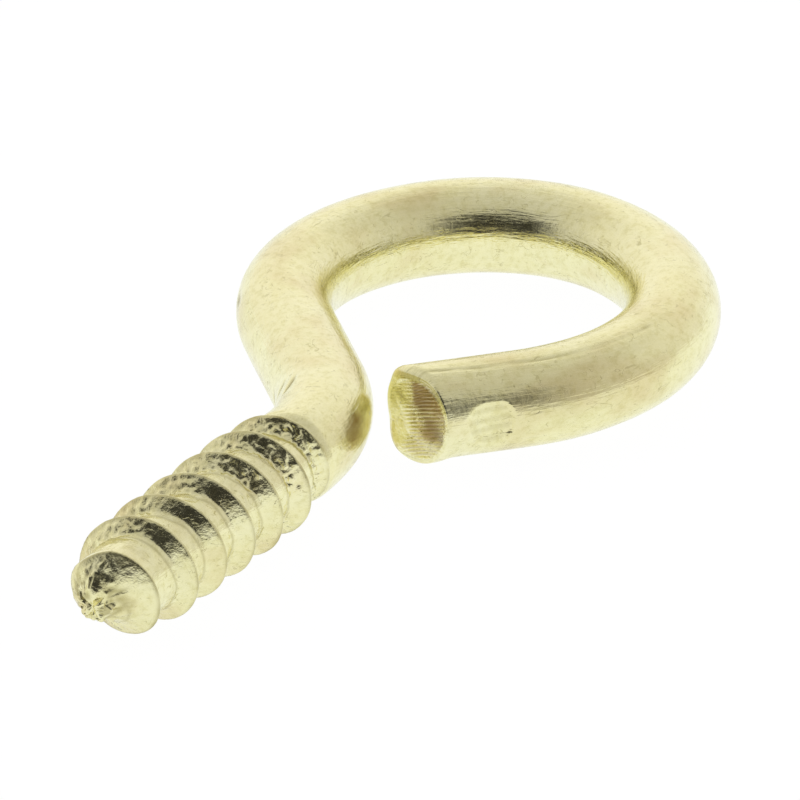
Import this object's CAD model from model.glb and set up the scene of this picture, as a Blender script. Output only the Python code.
import math
import bmesh
import bpy
from mathutils import Matrix, Vector, noise


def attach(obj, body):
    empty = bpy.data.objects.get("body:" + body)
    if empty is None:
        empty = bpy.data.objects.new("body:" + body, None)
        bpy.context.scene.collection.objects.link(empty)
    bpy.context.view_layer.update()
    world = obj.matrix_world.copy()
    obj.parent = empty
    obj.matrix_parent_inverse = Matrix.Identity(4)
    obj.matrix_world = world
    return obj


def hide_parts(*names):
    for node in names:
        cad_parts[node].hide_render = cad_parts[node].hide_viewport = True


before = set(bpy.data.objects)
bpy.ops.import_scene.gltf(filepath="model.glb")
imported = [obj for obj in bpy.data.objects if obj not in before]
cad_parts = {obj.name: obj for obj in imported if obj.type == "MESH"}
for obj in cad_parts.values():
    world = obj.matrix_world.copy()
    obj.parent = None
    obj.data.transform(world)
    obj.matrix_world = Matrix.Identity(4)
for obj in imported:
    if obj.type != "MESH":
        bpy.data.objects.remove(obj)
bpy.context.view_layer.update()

MM = 0.001

# The wire and its thread, in millimetres, as the solid has them
WIRE_RADIUS = 1.0
SHANK_LENGTH = 7.9
ROOT_RADIUS = 0.85
CREST_RADIUS = 1.27
PITCH = 1.13
CREST_FROM_BEND = 0.74

# The crests sink to the plain wire over this length, a gentler run-out than the solid's
RUNOUT = 1.15

# The bent wire after the shank: a bend's radius and degrees of turn to the left, or a run's length
BENDS = (
    ("bend", 4.53, 41.9),
    ("run", 2.87, 0.0),
    ("bend", 4.37, -90.6),
    ("bend", 3.54, -61.2),
    ("bend", 4.65, -112.9),
    ("run", 2.16, 0.0),
)

# The sheared end: how much further it reaches per millimetre to the right of the heading,
# the length over which the wire slants to it, and its lines, in millimetres per radian of wave
SHEAR_SLOPE = 0.38
SLANT_LENGTH = 1.6
SHEAR_LINES = 0.0127

# Round flat on the outer side of the straight end, and its lines in the same measure
FLAT_RADIUS = 0.53
FLAT_DEPTH = 0.11
FLAT_FROM_END = 1.25
FLAT_LINES = 0.034
OUTER_SIDE = 0.5

# How far out the crests reach, by height from the tip
CREST_FORM = (
    (0.0, 0.36), (0.10, 0.40), (0.19, 0.52), (0.29, 0.86), (0.40, 1.00), (0.70, 1.05),
    (0.95, 1.12), (1.32, 1.25), (1.6, 1.27),
)

# How far the thread falls below its crest, by distance across the ridge, tip side first
RIDGE_FORM = (
    (-0.80, 0.36), (-0.60, 0.345), (-0.36, 0.325), (-0.23, 0.28), (-0.035, 0.018),
    (-0.015, 0.003), (0.02, 0.0), (0.05, 0.02), (0.16, 0.22), (0.24, 0.33), (0.33, 0.36),
)

# The blunt nub of the tip sits a little to the left of the middle and below it: x and z
NUB_RADIUS = 0.41
NUB_ASIDE = (-0.17, -0.16)

# Rows of the mesh: points round the wire, steps of the shank, and the length of a step on the
# straight end and on the rest, each before its edges are cut this many times
AROUND = 144
SHANK_STEPS = 45
END_STEP = 0.28
BEND_STEP = 0.64
FINE_CUTS = 7
PLAIN_CUTS = 3
TINY = 1e-4

# Rings that close the tip and the cut, and how far they shrink before they meet in a point.
# The first share of the cut's rings rolls over its rim.
TIP_RINGS = 16
TIP_SHRINK = 0.97
CUT_RINGS = 45
CUT_SHRINK = 0.985
RIM_SHARE = 0.2

# The photograph's view: azimuth 0 looks along +Y
VIEW_AZIMUTH = 29.14
VIEW_ELEVATION = 24.8
VIEW_TARGET = (-0.4725, 5.1687, -1.0)
VIEW_DISTANCE = 269.1
LENS = 591.0
SENSOR = 36.0

# The tent's dark opening: azimuth and elevation of its middle, and the sines of the angles to
# its sides and to its top and bottom
OPENING = (19.0, 28.0)
OPENING_WIDE = 0.70
OPENING_TALL = 0.36

# The table, in metres, and where the thread and the loop rest on it, in millimetres along Y
TABLE_HALF = 0.4
TABLE_GAP = 0.00001
THREAD_REST = -SHANK_LENGTH + 1.6
LOOP_REST = 8.5

# Knocks in the bent wire from tumbling and from the bending pin:
# distance from the start of the bend, degrees from the top towards the inside of the loop,
# half length along the wire, half width round it, depth, and turn in degrees
KNOCKS = (
    (1.75, -45, 0.36, 0.065, 0.045, 22),
    (2.25, -66, 0.09, 0.24, 0.030, -22),
    (2.95, -96, 0.10, 0.22, 0.030, -15),
    (7.05, -74, 0.12, 0.15, 0.040, 10),
    (6.2, -20, 0.20, 0.09, 0.010, 25),
    (4.2, 8, 0.14, 0.05, 0.012, -40),
    (5.1, -35, 0.10, 0.16, 0.008, 0),
    (3.6, 28, 0.22, 0.05, 0.010, 15),
    (9.3, 20, 0.16, 0.07, 0.010, -20),
    (10.6, 50, 0.30, 0.06, 0.010, 8),
    (13.1, 35, 0.24, 0.05, 0.009, -12),
    (14.6, 52, 0.12, 0.10, 0.014, 30),
    (16.8, 30, 0.20, 0.06, 0.010, 20),
    (18.4, 5, 0.18, 0.05, 0.012, -35),
    (20.2, -20, 0.14, 0.09, 0.012, 50),
    (21.9, -55, 0.10, 0.16, 0.012, 12),
    (23.1, -78, 0.26, 0.05, 0.010, -18),
    (24.7, -95, 0.15, 0.07, 0.012, 24),
    (25.6, -60, 0.22, 0.05, 0.010, -8),
    (26.0, -120, 0.20, 0.09, 0.012, 15),
    (19.5, 150, 0.25, 0.12, 0.012, 30),
    (11.5, -140, 0.22, 0.10, 0.012, -25),
    (5.6, 130, 0.20, 0.10, 0.012, 40),
    (15.5, -100, 0.22, 0.08, 0.012, 15),
    (8.4, -120, 0.18, 0.12, 0.012, -50),
    (22.5, 100, 0.20, 0.08, 0.010, 20),
)
KNOCK_REACH = 0.8

# Long drawn line along the wire near its end: distance and degrees at each point of it,
# the stretch in which it is, its half width in degrees, and its depth
DRAWN_LINE = (
    (23.4, -21.0), (25.2, -18.5), (26.3, -16.0), (27.0, -16.5), (27.7, -13.0), (28.3, -10.0),
)
DRAWN_FROM, DRAWN_TO = 23.0, 28.4
DRAWN_WIDE = 2.4
DRAWN_DEPTH = 0.022


def smooth(low, high, x):
    """Rises smoothly from 0 at low to 1 at high."""
    t = min(max((x - low) / (high - low), 0.0), 1.0)
    return t * t * (3.0 - 2.0 * t)


def mix(a, b, t):
    return a + (b - a) * t


def soft_max(a, b, k):
    """Larger of two values, with the corner between them rounded over k."""
    h = max(k - abs(a - b), 0.0) / k
    return max(a, b) + h * h * k * 0.25


def between(points, x):
    """Value at x on a chain of points, straight from one to the next."""
    if x <= points[0][0]:
        return points[0][1]
    for (x0, y0), (x1, y1) in zip(points, points[1:]):
        if x <= x1:
            return mix(y0, y1, (x - x0) / (x1 - x0))
    return points[-1][1]


def rough(place, scale, seed):
    """Smooth noise from about -1 to 1, with bumps about scale across."""
    return noise.noise(Vector(place) / scale + Vector((seed * 7.3, seed * 3.1, seed * 5.7)))


def creased(place, scale, seed):
    """Noise with sharp valleys: 0 in a valley, and up to 1 between them."""
    return min(1.0, 2.2 * abs(rough(place, scale, seed)))


def half_turn(degrees):
    """Degrees brought to between -180 and 180."""
    return (degrees + 180.0) % 360.0 - 180.0


def pointing(heading):
    """Unit vector along a heading, in the plane of the hook."""
    return Vector((math.cos(heading), math.sin(heading), 0.0))


def unbent_place(angle, distance, radius=1.0):
    """Point beside a straight axis along Y. The angle runs from the top towards +X."""
    return Vector((radius * math.sin(angle), distance, radius * math.cos(angle)))


def route():
    """Sections of the bent wire: kind, start, length, place, heading, centre, signed radius."""
    sections = []
    x, y, heading, start = 0.0, 0.0, math.pi / 2, 0.0
    for kind, size, turn in BENDS:
        if kind == "run":
            sections.append((kind, start, size, (x, y), heading, None, 0.0))
            x += size * math.cos(heading)
            y += size * math.sin(heading)
            start += size
        else:
            reach = math.copysign(size, turn)
            centre = (x - reach * math.sin(heading), y + reach * math.cos(heading))
            length = size * math.radians(abs(turn))
            sections.append((kind, start, length, (x, y), heading, centre, reach))
            heading += math.radians(turn)
            x = centre[0] + reach * math.sin(heading)
            y = centre[1] - reach * math.cos(heading)
            start += length
    return sections


ROUTE = route()
WIRE_LENGTH = ROUTE[-1][1] + ROUTE[-1][2]


def axis_at(distance):
    """Point on the wire's axis and its heading."""
    for kind, start, length, (x, y), heading, centre, reach in ROUTE:
        if distance <= start + length or start + length >= WIRE_LENGTH:
            gone = distance - start
            if kind == "run":
                x += gone * math.cos(heading)
                y += gone * math.sin(heading)
                return Vector((x, y, 0.0)), heading
            turned = heading + gone / reach
            x = centre[0] + reach * math.sin(turned)
            y = centre[1] - reach * math.cos(turned)
            return Vector((x, y, 0.0)), turned


def thread_lean(angle):
    """How much lower the thread is away from its highest side."""
    return 0.05 * (1.0 - math.cos(angle - math.radians(50)))


def ridge_at(angle, crest, across):
    """Radius of one turn's ridge, whose crest lies at the given height, beside that crest."""
    sunk = smooth(SHANK_LENGTH - RUNOUT, SHANK_LENGTH - 0.2, crest)
    full = mix(between(CREST_FORM, crest), WIRE_RADIUS, sunk)
    full -= thread_lean(angle) * smooth(0.2, 1.2, crest)
    drop = between(RIDGE_FORM, across)
    on_front = max(drop, -1.45 * across) if across < 0.0 else drop
    return full - mix(on_front, drop, smooth(0.5, 1.3, crest))


def thread_form(angle, height):
    """Radius of the rolled thread, and how far the place is from the middle of its ridge."""
    crest_height = SHANK_LENGTH - CREST_FROM_BEND + PITCH * angle / math.tau
    crest = crest_height + math.floor((height - crest_height) / PITCH + 0.71) * PITCH
    across = height - crest
    ridge = ridge_at(angle, crest, across)
    if across > 0.0:
        ridge = soft_max(ridge, ridge_at(angle, crest + PITCH, across - PITCH), 0.04)
    groove = mix(NUB_RADIUS, ROOT_RADIUS, smooth(0.2, 1.4, height))
    filled = smooth(SHANK_LENGTH - 0.62, SHANK_LENGTH - 0.15, height)
    radius = soft_max(ridge, mix(groove, WIRE_RADIUS, filled), 0.06)
    if height < 0.8:
        raised = height + 0.15 * (1.0 + math.cos(angle - math.radians(60)))
        radius = min(radius, mix(NUB_RADIUS, 1.25, smooth(0.1, 0.75, raised)))
    return min(radius, CREST_RADIUS), across


def nub_share(height, radius):
    """1 on the blunt nub of the tip, and 0 away from it."""
    return (1.0 - smooth(0.28, 0.55, height)) * (1.0 - smooth(0.55, 0.78, radius))


def shank_radius(angle, height):
    """Radius with the crumpled flanks, folds and dents that rolling leaves."""
    radius, across = thread_form(angle, height)
    place = unbent_place(angle, height, radius)
    flank = smooth(-0.36, -0.24, across) * (1.0 - smooth(-0.05, -0.01, across))
    leaning = rough(place, 0.9, 11) + 0.14 * (height - 2.6) - 0.5 * math.sin(angle)
    patch = smooth(-0.45, 0.25, leaning)
    dents = -0.055 * (1.0 - creased(place, 0.15, 4)) + 0.035 * rough(place, 0.10, 5)
    crumple = flank * mix(0.15, 1.0, patch) * dents
    skin = (0.008 * rough(place, 0.45, 1) + 0.003 * rough(place, 0.12, 2)
            + 0.016 * rough(place, 1.1, 6))
    land = smooth(-0.76, -0.60, across) * (1.0 - smooth(-0.36, -0.28, across))
    nicks = -0.04 * max(0.0, rough(place, 0.30, 8) - 0.42)
    folds = -0.012 * (1.0 - smooth(0.0, 0.07, abs(rough(place, 0.62, 9))))
    folds *= smooth(-0.1, 0.2, rough(place, 0.8, 10))
    torn = -0.08 * (1.0 - creased(place, 0.24, 12)) + 0.05 * rough(place, 0.16, 13)
    pits = nub_share(height, radius) * torn
    worn = 1.0 - smooth(SHANK_LENGTH - 0.3, SHANK_LENGTH, height)
    radius += (crumple + skin + (nicks + folds) * land + pits) * worn
    return min(radius, CREST_RADIUS - 0.001)


def shank_grime(angle, height, radius):
    """Thin dark line along the worn crest, a fainter one at the foot of its steep side, and
    dirt in the folds of the nub."""
    across = thread_form(angle, height)[1]
    place = unbent_place(angle, height, radius)
    line = math.exp(-((across + 0.005) / 0.028) ** 2) * (0.55 + 0.45 * rough(place, 0.35, 14))
    foot = math.exp(-((across + 0.34 + 0.05 * rough(place, 0.4, 15)) / 0.03) ** 2) * 0.35
    dirt = nub_share(height, radius) * 0.55 * smooth(0.35, 1.0, 1.0 - creased(place, 0.24, 12))
    worn = 1.0 - smooth(SHANK_LENGTH - 0.5, SHANK_LENGTH - 0.1, height)
    return max(line * 0.75, foot, dirt) * worn


def tip_height(angle, share):
    """Height of the blunt, torn front of the tip, at a share of its radius."""
    place = (0.5 * math.sin(angle) * share, 0.5 * math.cos(angle) * share, 0.0)
    tear = 0.09 * (1.0 - creased(place, 0.26, 21)) + 0.04 * rough(place, 0.14, 22)
    return 0.004 + 0.13 * share ** 4 + max(0.0, tear) * (1.0 - smooth(0.75, 1.0, share))


def tip_place(angle, height, radius):
    """Point of the shank, with the nub drawn to one side."""
    share = 1.0 - smooth(0.05, 0.55, height)
    return Vector((radius * math.sin(angle) + NUB_ASIDE[0] * share, height - SHANK_LENGTH,
                   radius * math.cos(angle) + NUB_ASIDE[1] * share))


def knock_depth(distance, angle):
    """Depth of the knocks and of the drawn line at a place on the bent wire."""
    depth = 0.0
    degrees = math.degrees(angle)
    for at, middle, half_long, half_wide, deep, turn in KNOCKS:
        along = distance - at
        if abs(along) > KNOCK_REACH:
            continue
        beside = math.radians(half_turn(degrees - middle))
        c, s = math.cos(math.radians(turn)), math.sin(math.radians(turn))
        u = (along * c + beside * s) / half_long
        v = (beside * c - along * s) / half_wide
        depth += deep * math.exp(-(u * u + v * v))
    if DRAWN_FROM < distance < DRAWN_TO:
        off = (half_turn(degrees) - between(DRAWN_LINE, distance)) / DRAWN_WIDE
        pressed = 0.7 + 0.5 * rough((distance, 0, 0), 0.5, 31)
        depth += DRAWN_DEPTH * math.exp(-off * off) * pressed
    return depth


def end_frame():
    """Middle of the round flat, the way it faces, and the way the wire's end points."""
    end, heading = axis_at(WIRE_LENGTH)
    ahead = pointing(heading)
    return end - ahead * FLAT_FROM_END, Vector((-ahead.y, ahead.x, 0.0)), ahead


FLAT_MIDDLE, FLAT_OUTER, END_AHEAD = end_frame()


def on_flat(point):
    """How far out a point is beside the round flat, and its place along the wire and upwards."""
    offset = point - FLAT_MIDDLE
    return offset.dot(FLAT_OUTER), offset.dot(END_AHEAD), offset.z


def flat_line(along, high):
    """Wave of the fine lines across the flat, from -1 to 1."""
    return math.sin(high / FLAT_LINES + 2.0 * rough((along, high, 0), 0.6, 42))


def press_flat(point):
    """Pushes a point in to the floor of the round flat, which has a worn, uneven edge."""
    out, along, high = on_flat(point)
    if out < OUTER_SIDE:
        return point
    spread = math.hypot(along, high) / (1.0 + 0.06 * rough((along, high, 0.0), 0.4, 41))
    soft = mix(0.06, 0.24, smooth(-0.2, 0.5, along + 0.5 * high))
    inside = 1.0 - smooth(FLAT_RADIUS - soft, FLAT_RADIUS + 0.02, spread)
    too_far = out - (WIRE_RADIUS - FLAT_DEPTH + 0.004 * flat_line(along, high))
    return point - FLAT_OUTER * (max(too_far, 0.0) * inside)


def flat_grime(point):
    """Faint lines across the floor of the round flat."""
    out, along, high = on_flat(point)
    if out < OUTER_SIDE or math.hypot(along, high) > FLAT_RADIUS * 0.86:
        return 0.0
    return 0.10 + 0.10 * flat_line(along, high)


def wire_place(angle, distance, radius, beyond=0.0):
    """Point of the bent wire. The angle runs from the top towards the right of the heading."""
    middle, heading = axis_at(distance)
    side, up = radius * math.sin(angle), radius * math.cos(angle)
    right = Vector((math.sin(heading), -math.cos(heading), 0.0))
    corner = 0.13 * smooth(-0.4, 0.4, side) * smooth(0.35, 0.95, abs(up))
    slant = smooth(WIRE_LENGTH - SLANT_LENGTH, WIRE_LENGTH - 0.25, distance)
    slant *= SHEAR_SLOPE * side + 0.05 + corner
    return middle + right * side + pointing(heading) * (beyond + slant) + Vector((0.0, 0.0, up))


def burr(angle):
    """Lip that the shear pushes down at the underside of the end."""
    return 0.07 * math.exp(-((math.degrees(angle) % 360.0 - 190.0) / 26.0) ** 2)


def wire_skin(angle, distance):
    """Point on the worn skin of the bent wire."""
    place = unbent_place(angle, distance)
    drawn = (place.x, place.y * 0.3, place.z)
    wear = -0.005 + 0.007 * rough(place, 1.3, 7) + 0.0022 * rough(drawn, 0.2, 8)
    radius = WIRE_RADIUS + wear * smooth(0.0, 0.35, distance) - knock_depth(distance, angle)
    lip = burr(angle) * smooth(WIRE_LENGTH - 0.5, WIRE_LENGTH - 0.12, distance)
    return press_flat(wire_place(angle, distance, min(radius, WIRE_RADIUS) + lip))


def rim_round(angle):
    """Radius of the rolled rim: wide on the inner side and the top, sharp on the outer side."""
    inward = 0.5 + 0.5 * math.cos(angle - math.radians(55))
    return mix(0.035, 0.26, smooth(0.30, 0.9, inward))


def shear_line(side, up):
    """Wave of the lines that the shear left across the cut, from -1 to 1."""
    across = up * 0.93 + side * 0.36
    return math.sin(across / SHEAR_LINES + 2.0 * rough((side, up, 0.0), 0.7, 51))


def outward(side, up):
    """How far a place on the cut is towards its outer side, where the lines are, unevenly."""
    return 0.4 * rough((side, up, 0.0), 0.5, 52) - side


def sheared_face(angle, share, rolled):
    """Point on the sheared end: rolled runs 0 to 1 round the rim, then share shrinks to 0."""
    rim = rim_round(angle)
    turn = rolled * math.pi / 2
    radius = (WIRE_RADIUS - rim * (1.0 - math.cos(turn)) + burr(angle) * (1.0 - rolled)) * share
    side, up = radius * math.sin(angle), radius * math.cos(angle)
    ridges = 0.020 * shear_line(side, up)
    ridges *= smooth(-0.55, 0.05, outward(side, up))
    lumps = 0.020 * rough((side * 0.6, up, 3.0), 0.28, 53)
    lumps -= 0.03 * (1.0 - creased((side, up, 1.0), 0.5, 54))
    lumps += 0.06 * smooth(0.0, 0.7, up) * smooth(-0.2, 0.5, -side)
    inside = 1.0 - smooth(0.90, 0.99, share)
    place = wire_place(angle, WIRE_LENGTH, radius, rim * (math.sin(turn) - 1.0))
    return place + END_AHEAD * ((ridges + lumps) * inside + 0.02)


def cut_grime(angle, share):
    """Dark in the lines that the shear left, most of all on the upper part."""
    side, up = share * math.sin(angle), share * math.cos(angle)
    lines = 0.5 - 0.5 * shear_line(side, up)
    lined = smooth(-0.5, 0.1, outward(side, up))
    stain = 0.5 * up - 0.25 * side + 0.45 * rough((side, up, 0.0), 0.35, 55)
    dark = 0.55 * lines + 0.65 * smooth(-0.1, 0.35, stain)
    return min(1.0, dark * lined * (1.0 - smooth(0.88, 0.99, share)))


def lay_tube(shape, around, along):
    """Plain tube along the whole wire: a ring run out and spun by sections, then divided."""
    lie = Matrix.Translation((0, -SHANK_LENGTH, 0)) @ Matrix.Rotation(math.pi / 2, 4, "X")
    first = bmesh.ops.create_circle(
        shape, segments=AROUND, radius=WIRE_RADIUS, matrix=lie)["verts"]
    for vert in first:
        vert[around] = math.atan2(vert.co.x, vert.co.z)
        vert[along] = -SHANK_LENGTH
    edges = list(dict.fromkeys(edge for vert in first for edge in vert.link_edges))
    ring = first + edges
    ahead = Vector((0.0, SHANK_LENGTH / SHANK_STEPS, 0.0))
    sections = [(SHANK_STEPS, -SHANK_LENGTH, SHANK_LENGTH, {"dvec": ahead})]
    for kind, start, length, _, heading, centre, reach in ROUTE:
        steps = round(length / (END_STEP if start + length >= WIRE_LENGTH else BEND_STEP))
        if kind == "run":
            turn = {"dvec": pointing(heading) * (length / steps)}
        else:
            turn = {"cent": (*centre, 0.0), "angle": length / reach}
        sections.append((steps, start, length, turn))
    for steps, start, length, turn in sections:
        before = len(shape.verts)
        ring = bmesh.ops.spin(shape, geom=ring, steps=steps, axis=(0, 0, 1), **turn)["geom_last"]
        shape.verts.ensure_lookup_table()
        for index in range(before, len(shape.verts)):
            step = (index - before) // AROUND + 1
            shape.verts[index][along] = start + length * step / steps
    last = [item for item in ring if isinstance(item, bmesh.types.BMEdge)]

    # The shank, the first bend and the straight end have the finer rows
    fine_until, fine_from = ROUTE[1][1] - TINY, ROUTE[-1][1] - TINY
    for fine, cuts in ((True, FINE_CUTS), (False, PLAIN_CUTS)):
        lengthwise = []
        for edge in shape.edges:
            start, end = sorted(vert[along] for vert in edge.verts)
            if end - start > 0.1 and fine == (start < fine_until or start > fine_from):
                lengthwise.append(edge)
        bmesh.ops.subdivide_edges(shape, edges=lengthwise, cuts=cuts, use_grid_fill=False)
    return edges, last


def close_end(shape, edges, count, place):
    """Closes an open end with rings that shrink to a point. place(vert, share) sets each one."""
    for step in range(1, count + 1):
        made = bmesh.ops.extrude_edge_only(shape, edges=edges)["geom"]
        verts = [item for item in made if isinstance(item, bmesh.types.BMVert)]
        ring = set(verts)
        edges = [item for item in made
                 if isinstance(item, bmesh.types.BMEdge) and ring.issuperset(item.verts)]
        for vert in verts:
            place(vert, step / count)
    middle = sum((vert.co for vert in verts), Vector()) / len(verts)
    bmesh.ops.pointmerge(shape, verts=verts, merge_co=middle)


def hook_mesh():
    """Skin of the hook, in one piece from the torn tip to the sheared end.

    Its attributes are the place on the unbent wire, the sheared end, and how dark the dirt is.
    """
    shape = bmesh.new()
    layers = shape.verts.layers
    floats = ("around", "along", "cut", "grime")
    for name in floats:
        layers.float.new(name)
    layers.float_vector.new("unbent")
    around, along, cut, grime = (layers.float[name] for name in floats)
    unbent = layers.float_vector["unbent"]
    first, last = lay_tube(shape, around, along)
    for vert in shape.verts:
        angle, distance = vert[around], vert[along]
        if distance < TINY:
            foot = tip_height(angle, 1.0)
            height = foot + (SHANK_LENGTH - foot) * (distance / SHANK_LENGTH + 1.0)
            radius = shank_radius(angle, height)
            vert.co = tip_place(angle, height, radius)
            vert[unbent] = vert.co
            vert[grime] = shank_grime(angle, height, radius)
        else:
            slant = smooth(WIRE_LENGTH - SLANT_LENGTH, WIRE_LENGTH, distance)
            vert.co = wire_skin(angle, distance - rim_round(angle) * slant)
            vert[unbent] = unbent_place(angle, distance)
            in_knock = 0.75 * smooth(0.006, 0.028, knock_depth(distance, angle))
            vert[grime] = max(in_knock, flat_grime(vert.co))

    def on_tip(vert, share):
        angle, inner = vert[around], 1.0 - share * TIP_SHRINK
        radius = shank_radius(angle, tip_height(angle, 1.0)) * inner
        height = tip_height(angle, inner)
        vert.co = tip_place(angle, height, radius)
        vert[unbent] = vert.co
        vert[grime] = 0.5 * smooth(0.45, 1.0, creased((vert.co.x, vert.co.z, 0.0), 0.3, 23))

    def on_cut(vert, share):
        angle, rolled = vert[around], min(share / RIM_SHARE, 1.0)
        inner = 1.0 - max(0.0, share - RIM_SHARE) / (1.0 - RIM_SHARE) * CUT_SHRINK
        vert.co = sheared_face(angle, inner, rolled)
        vert[unbent] = unbent_place(angle, WIRE_LENGTH + share, inner)
        if rolled >= 1.0:
            vert[cut] = 1.0
            vert[grime] = cut_grime(angle, inner)

    close_end(shape, first, TIP_RINGS, on_tip)
    close_end(shape, last, CUT_RINGS, on_cut)
    bmesh.ops.scale(shape, vec=(MM, MM, MM), verts=shape.verts)
    bmesh.ops.recalc_face_normals(shape, faces=shape.faces)
    for face in shape.faces:
        face.smooth = True
    mesh = bpy.data.meshes.new("hook_skin")
    shape.to_mesh(mesh)
    shape.free()
    return mesh


def node(tree, kind, **values):
    """Adds a node. A name that begins with in_ sets the input of that name."""
    made = tree.nodes.new(kind)
    for name, value in values.items():
        if name.startswith("in_"):
            made.inputs[name[3:].replace("_", " ")].default_value = value
        else:
            setattr(made, name, value)
    return made


def feed(tree, value, socket):
    """Sets a socket to a number, or links another socket to it."""
    if isinstance(value, (int, float)):
        socket.default_value = value
    else:
        tree.links.new(value, socket)


def start_tree(owner, kind):
    """Empties the nodes of a material or world, and gives its tree and the surface to fill."""
    owner.use_nodes = True
    tree = owner.node_tree
    tree.nodes.clear()
    return tree, node(tree, kind).inputs["Surface"]


def maths(tree, operation, *terms, clamp=False):
    """Math node on numbers and sockets."""
    made = node(tree, "ShaderNodeMath", operation=operation, use_clamp=clamp)
    for socket, term in zip(made.inputs, terms):
        feed(tree, term, socket)
    return made.outputs["Value"]


def along_axis(tree, place, axis):
    """How far a place or a direction reaches along an axis."""
    made = node(tree, "ShaderNodeVectorMath", operation="DOT_PRODUCT")
    made.inputs[1].default_value = axis
    tree.links.new(place, made.inputs[0])
    return made.outputs["Value"]


def colours(tree, share, first, second, blend="MIX"):
    """Second colour laid over the first by a share."""
    made = node(tree, "ShaderNodeMix", data_type="RGBA", blend_type=blend)
    for value, index in ((share, 0), (first, 6), (second, 7)):
        feed(tree, value, made.inputs[index])
    return made.outputs[2]


def shaders(tree, share, first, second):
    """Second shader laid over the first by a share."""
    made = node(tree, "ShaderNodeMixShader")
    for value, index in ((share, 0), (first, 1), (second, 2)):
        feed(tree, value, made.inputs[index])
    return made.outputs["Shader"]


def ramp_of(tree, value, stops, eased=False):
    """Colour ramp on a value. A stop's colour may be one grey level."""
    made = node(tree, "ShaderNodeValToRGB")
    ramp = made.color_ramp
    ramp.interpolation = "EASE" if eased else "LINEAR"
    while len(ramp.elements) < len(stops):
        ramp.elements.new(0.5)
    for element, (position, colour) in zip(ramp.elements, stops):
        grey = isinstance(colour, float)
        element.position = position
        element.color = (colour, colour, colour, 1.0) if grey else (*colour, 1.0)
    tree.links.new(value, made.inputs["Fac"])
    return made.outputs["Color"]


def noise_of(tree, coords, scale, detail, roughness, stretch=(1, 1, 1), shift=(0, 0, 0),
             swirl=0.0):
    """Noise on the unbent wire. A stretch below 1 draws it out along that way."""
    mapping = node(tree, "ShaderNodeMapping", in_Scale=stretch, in_Location=shift)
    tree.links.new(coords, mapping.inputs["Vector"])
    made = node(tree, "ShaderNodeTexNoise", in_Scale=scale, in_Detail=detail,
                in_Roughness=roughness, in_Distortion=swirl)
    tree.links.new(mapping.outputs["Vector"], made.inputs["Vector"])
    return made.outputs["Fac"]


def scuffs(tree, coords, scale, width, keep, stretch=(1, 1, 1), shift=(0, 0, 0)):
    """Thin curved marks: the middle contour of a noise, kept where a second noise is high."""
    wave = noise_of(tree, coords, scale, 1.5, 0.5, stretch, shift, 0.6)
    off = maths(tree, "ABSOLUTE", maths(tree, "SUBTRACT", wave, 0.5))
    thin = maths(tree, "SUBTRACT", 1.0, maths(tree, "DIVIDE", off, width), clamp=True)
    other = noise_of(tree, coords, scale * 0.9, 1.0, 0.5, stretch, (shift[0] + 3.7, 1.9, 8.1))
    return maths(tree, "MULTIPLY", thin, ramp_of(tree, other, ((keep, 0.0), (keep + 0.06, 1.0))))


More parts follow.
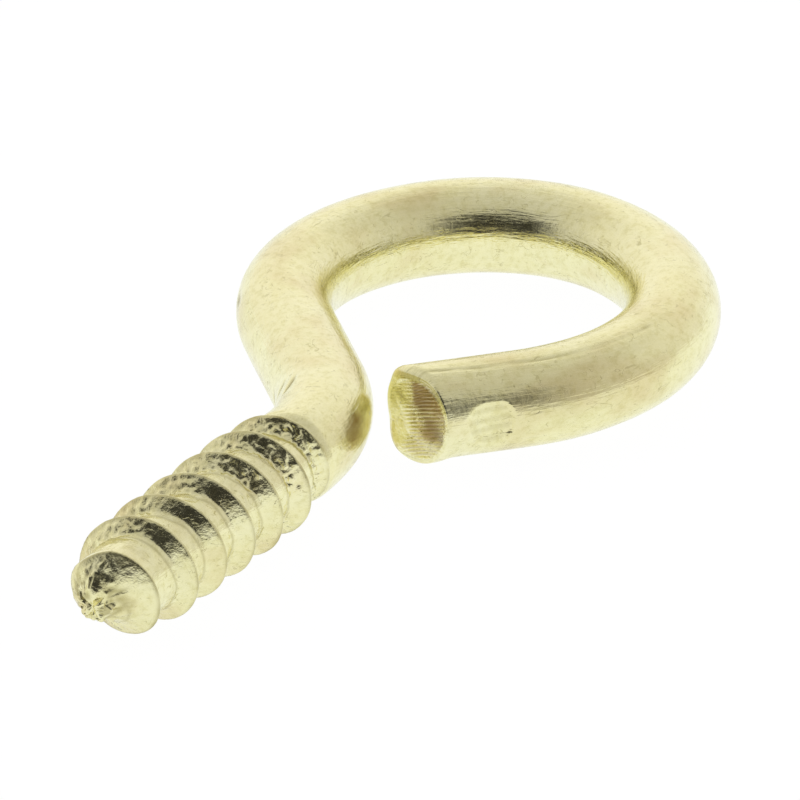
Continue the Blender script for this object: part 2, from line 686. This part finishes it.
def brass():
    """Raw brass, drawn, bent and tumbled: pale straw, with olive in its scratches and pits."""
    material = bpy.data.materials.new("tumbled_brass")
    tree, surface = start_tree(material, "ShaderNodeOutputMaterial")
    skin = node(tree, "ShaderNodeBsdfPrincipled", in_Metallic=1.0)
    tree.links.new(skin.outputs["BSDF"], surface)
    coords = node(tree, "ShaderNodeAttribute", attribute_name="unbent").outputs["Vector"]
    cut = node(tree, "ShaderNodeAttribute", attribute_name="cut").outputs["Fac"]
    grime = node(tree, "ShaderNodeAttribute", attribute_name="grime").outputs["Fac"]

    tone = ramp_of(tree, noise_of(tree, coords, 0.55, 3.0, 0.55, (1, 0.6, 1)), (
        (0.32, (0.77, 0.68, 0.37)),
        (0.45, (0.87, 0.82, 0.47)),
        (0.58, (0.89, 0.85, 0.52)),
        (0.72, (0.82, 0.74, 0.42)),
    ))
    frost = noise_of(tree, coords, 6.5, 5.0, 0.7, (1, 0.8, 1), (4.0, 2.0, 9.0))
    mottle = ramp_of(tree, frost, (
        (0.36, (0.90, 0.89, 0.82)),
        (0.50, (1.0, 1.0, 1.0)),
        (0.64, (1.03, 1.03, 1.07)),
    ))
    tinted = colours(tree, 1.0, tone, mottle, "MULTIPLY")

    short = scuffs(tree, coords, 2.6, 0.012, 0.60)
    small = scuffs(tree, coords, 6.5, 0.024, 0.59, (1, 0.8, 1), (5.0, 0.0, 2.0))
    slanted = scuffs(tree, coords, 3.6, 0.014, 0.60, (1.3, 0.45, 1.3), (9.0, 4.0, 0.0))
    marks = maths(tree, "MAXIMUM", maths(tree, "MAXIMUM", short, small), slanted)

    pores = node(tree, "ShaderNodeTexVoronoi", in_Scale=5.0, in_Randomness=1.0)
    tree.links.new(coords, pores.inputs["Vector"])
    pit = ramp_of(tree, pores.outputs["Distance"], ((0.05, 1.0), (0.11, 0.0)))
    some = ramp_of(tree, noise_of(tree, coords, 1.6, 2.0, 0.5, shift=(2.0, 3.0, 1.0)),
                   ((0.54, 0.0), (0.64, 1.0)))
    pits = maths(tree, "MULTIPLY", pit, some)
    worn = maths(tree, "MAXIMUM", maths(tree, "MULTIPLY", marks, 0.42),
                 maths(tree, "MULTIPLY", pits, 0.2))
    dark = maths(tree, "MAXIMUM", worn, grime)
    stain = ramp_of(tree, cut, ((0.0, (0.34, 0.29, 0.10)), (1.0, (0.40, 0.27, 0.12))))
    tree.links.new(colours(tree, dark, tinted, stain), skin.inputs["Base Color"])

    haze = noise_of(tree, coords, 1.4, 4.0, 0.65, (1, 0.7, 1), (1.0, 2.0, 3.0))
    polish = ramp_of(tree, haze, ((0.35, 0.10), (0.65, 0.24)))
    satin = maths(tree, "SUBTRACT", maths(tree, "MULTIPLY_ADD", frost, 0.16, polish), 0.07)
    tree.links.new(maths(tree, "MULTIPLY_ADD", dark, 0.25, satin), skin.inputs["Roughness"])

    long_lines = noise_of(tree, coords, 9.0, 3.0, 0.6, (1, 0.07, 1))
    fine_lines = noise_of(tree, coords, 26.0, 2.0, 0.6, (1, 0.10, 1))
    grain = noise_of(tree, coords, 6.0, 4.0, 0.6)
    torn = maths(tree, "MULTIPLY", noise_of(tree, coords, 14.0, 3.0, 0.6), cut)
    height = maths(tree, "MULTIPLY", long_lines, 0.9)
    for layer, share in ((fine_lines, 0.45), (grain, 0.5), (worn, -0.35), (torn, 1.2)):
        height = maths(tree, "MULTIPLY_ADD", layer, share, height)
    bump = node(tree, "ShaderNodeBump", in_Strength=1.0, in_Distance=0.000012)
    tree.links.new(height, bump.inputs["Height"])
    tree.links.new(bump.outputs["Normal"], skin.inputs["Normal"])
    return material


def direction(azimuth, elevation):
    """Unit vector towards a viewer who looks along the azimuth from the elevation."""
    a, e = math.radians(azimuth), math.radians(elevation)
    return Vector((math.sin(a) * math.cos(e), -math.cos(a) * math.cos(e), math.sin(e)))


def studio():
    """White light tent, a little greyer overhead, with one dark opening on the camera's side.

    The camera itself sees plain white.
    """
    world = bpy.data.worlds.new("light_tent")
    bpy.context.scene.world = world
    tree, surface = start_tree(world, "ShaderNodeOutputWorld")
    look = node(tree, "ShaderNodeTexCoord").outputs["Generated"]

    def away(axis, half):
        share = maths(tree, "DIVIDE", along_axis(tree, look, axis), half)
        return maths(tree, "POWER", maths(tree, "ABSOLUTE", share), 3.0)

    def shade(axis, stops):
        halved = maths(tree, "MULTIPLY_ADD", along_axis(tree, look, axis), 0.5, 0.5)
        return ramp_of(tree, halved, stops)

    middle = direction(*OPENING)
    right = Vector((0, 0, 1)).cross(middle).normalized()
    above = middle.cross(right)
    behind = maths(tree, "LESS_THAN", along_axis(tree, look, middle), 0.0)
    reach = maths(tree, "ADD", away(right, OPENING_WIDE), away(above, OPENING_TALL))
    reach = maths(tree, "ADD", reach, maths(tree, "MULTIPLY", behind, 10.0))
    opening = ramp_of(tree, maths(tree, "MULTIPLY", reach, 0.25), (
        (0.0, 0.05), (0.12, 0.07), (0.24, 0.40), (0.42, 0.86), (0.95, 1.0)))
    upward = shade((0, 0, 1), ((0.5, 0.80), (0.75, 0.78), (0.87, 0.66), (1.0, 0.60)))
    brighter = shade(direction(-145.0, 20.0), ((0.0, 0.66), (0.5, 0.73), (0.8, 0.85), (1.0, 1.0)))
    level = maths(tree, "MULTIPLY", maths(tree, "MULTIPLY", upward, brighter), 1.3)
    lit = node(tree, "ShaderNodeBackground", in_Color=(1.0, 0.985, 0.95, 1.0))
    tree.links.new(maths(tree, "MULTIPLY", level, opening), lit.inputs["Strength"])
    white = node(tree, "ShaderNodeBackground", in_Color=(1, 1, 1, 1), in_Strength=1.0)
    seen = node(tree, "ShaderNodeLightPath").outputs["Is Camera Ray"]
    tree.links.new(shaders(tree, seen, lit.outputs["Background"], white.outputs["Background"]),
                   surface)


def white_table():
    """Matt white. The camera sees it as plain white, and in the brass it greys to the front."""
    material = bpy.data.materials.new("white_table")
    tree, surface = start_tree(material, "ShaderNodeOutputMaterial")
    paint = node(tree, "ShaderNodeBsdfDiffuse", in_Color=(0.92, 0.92, 0.92, 1.0)).outputs["BSDF"]
    shown = node(tree, "ShaderNodeEmission", in_Color=(1, 1, 1, 1), in_Strength=1.03)
    mirrored = node(tree, "ShaderNodeEmission", in_Color=(1.07, 1.1, 1.1, 1))
    place = node(tree, "ShaderNodeTexCoord").outputs["Object"]
    nearer = along_axis(tree, place, direction(VIEW_AZIMUTH, 0.0))
    greyer = ramp_of(tree, maths(tree, "MULTIPLY_ADD", nearer, 12.0, 0.3),
                     ((0.25, 1.0), (0.75, 0.74)), eased=True)
    tree.links.new(greyer, mirrored.inputs["Strength"])
    path = node(tree, "ShaderNodeLightPath")
    glowing = shaders(tree, 0.86, paint, mirrored.outputs["Emission"])
    in_brass = shaders(tree, path.outputs["Is Glossy Ray"], paint, glowing)
    in_view = shaders(tree, 0.95, paint, shown.outputs["Emission"])
    tree.links.new(shaders(tree, path.outputs["Is Camera Ray"], in_brass, in_view), surface)
    return material


def new_object(name, data):
    """Object in the scene, at the origin."""
    made = bpy.data.objects.new(name, data)
    bpy.context.scene.collection.objects.link(made)
    return made


def floor():
    """Plain table, tipped by a hair so that thread and loop both touch it."""
    thread_low = CREST_RADIUS - thread_lean(math.pi)
    slope = (thread_low - WIRE_RADIUS) / (LOOP_REST - THREAD_REST)
    shape = bmesh.new()
    bmesh.ops.create_grid(shape, x_segments=1, y_segments=1, size=TABLE_HALF)
    for vert in shape.verts:
        vert.co.z = slope * (vert.co.y - THREAD_REST * MM) - thread_low * MM - TABLE_GAP
    mesh = bpy.data.meshes.new("table")
    shape.to_mesh(mesh)
    shape.free()
    table = new_object("table", mesh)
    mesh.materials.append(white_table())


def camera():
    """Camera of the photograph, far away with a long lens."""
    data = bpy.data.cameras.new("camera")
    data.lens = LENS
    data.sensor_width = SENSOR
    data.sensor_fit = "HORIZONTAL"
    data.clip_start = 0.01
    made = new_object("camera", data)
    back = direction(VIEW_AZIMUTH, VIEW_ELEVATION)
    made.location = (Vector(VIEW_TARGET) + back * VIEW_DISTANCE) * MM
    made.rotation_euler = back.to_track_quat("Z", "Y").to_euler()
    bpy.context.scene.camera = made


def hook():
    """The one piece of the object."""
    mesh = hook_mesh()
    piece = new_object("hook_wire", mesh)
    mesh.materials.append(brass())
    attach(piece, "root")
    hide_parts("cup_hook")


camera()
studio()
floor()
hook()
bpy.context.scene.view_settings.view_transform = "Standard"
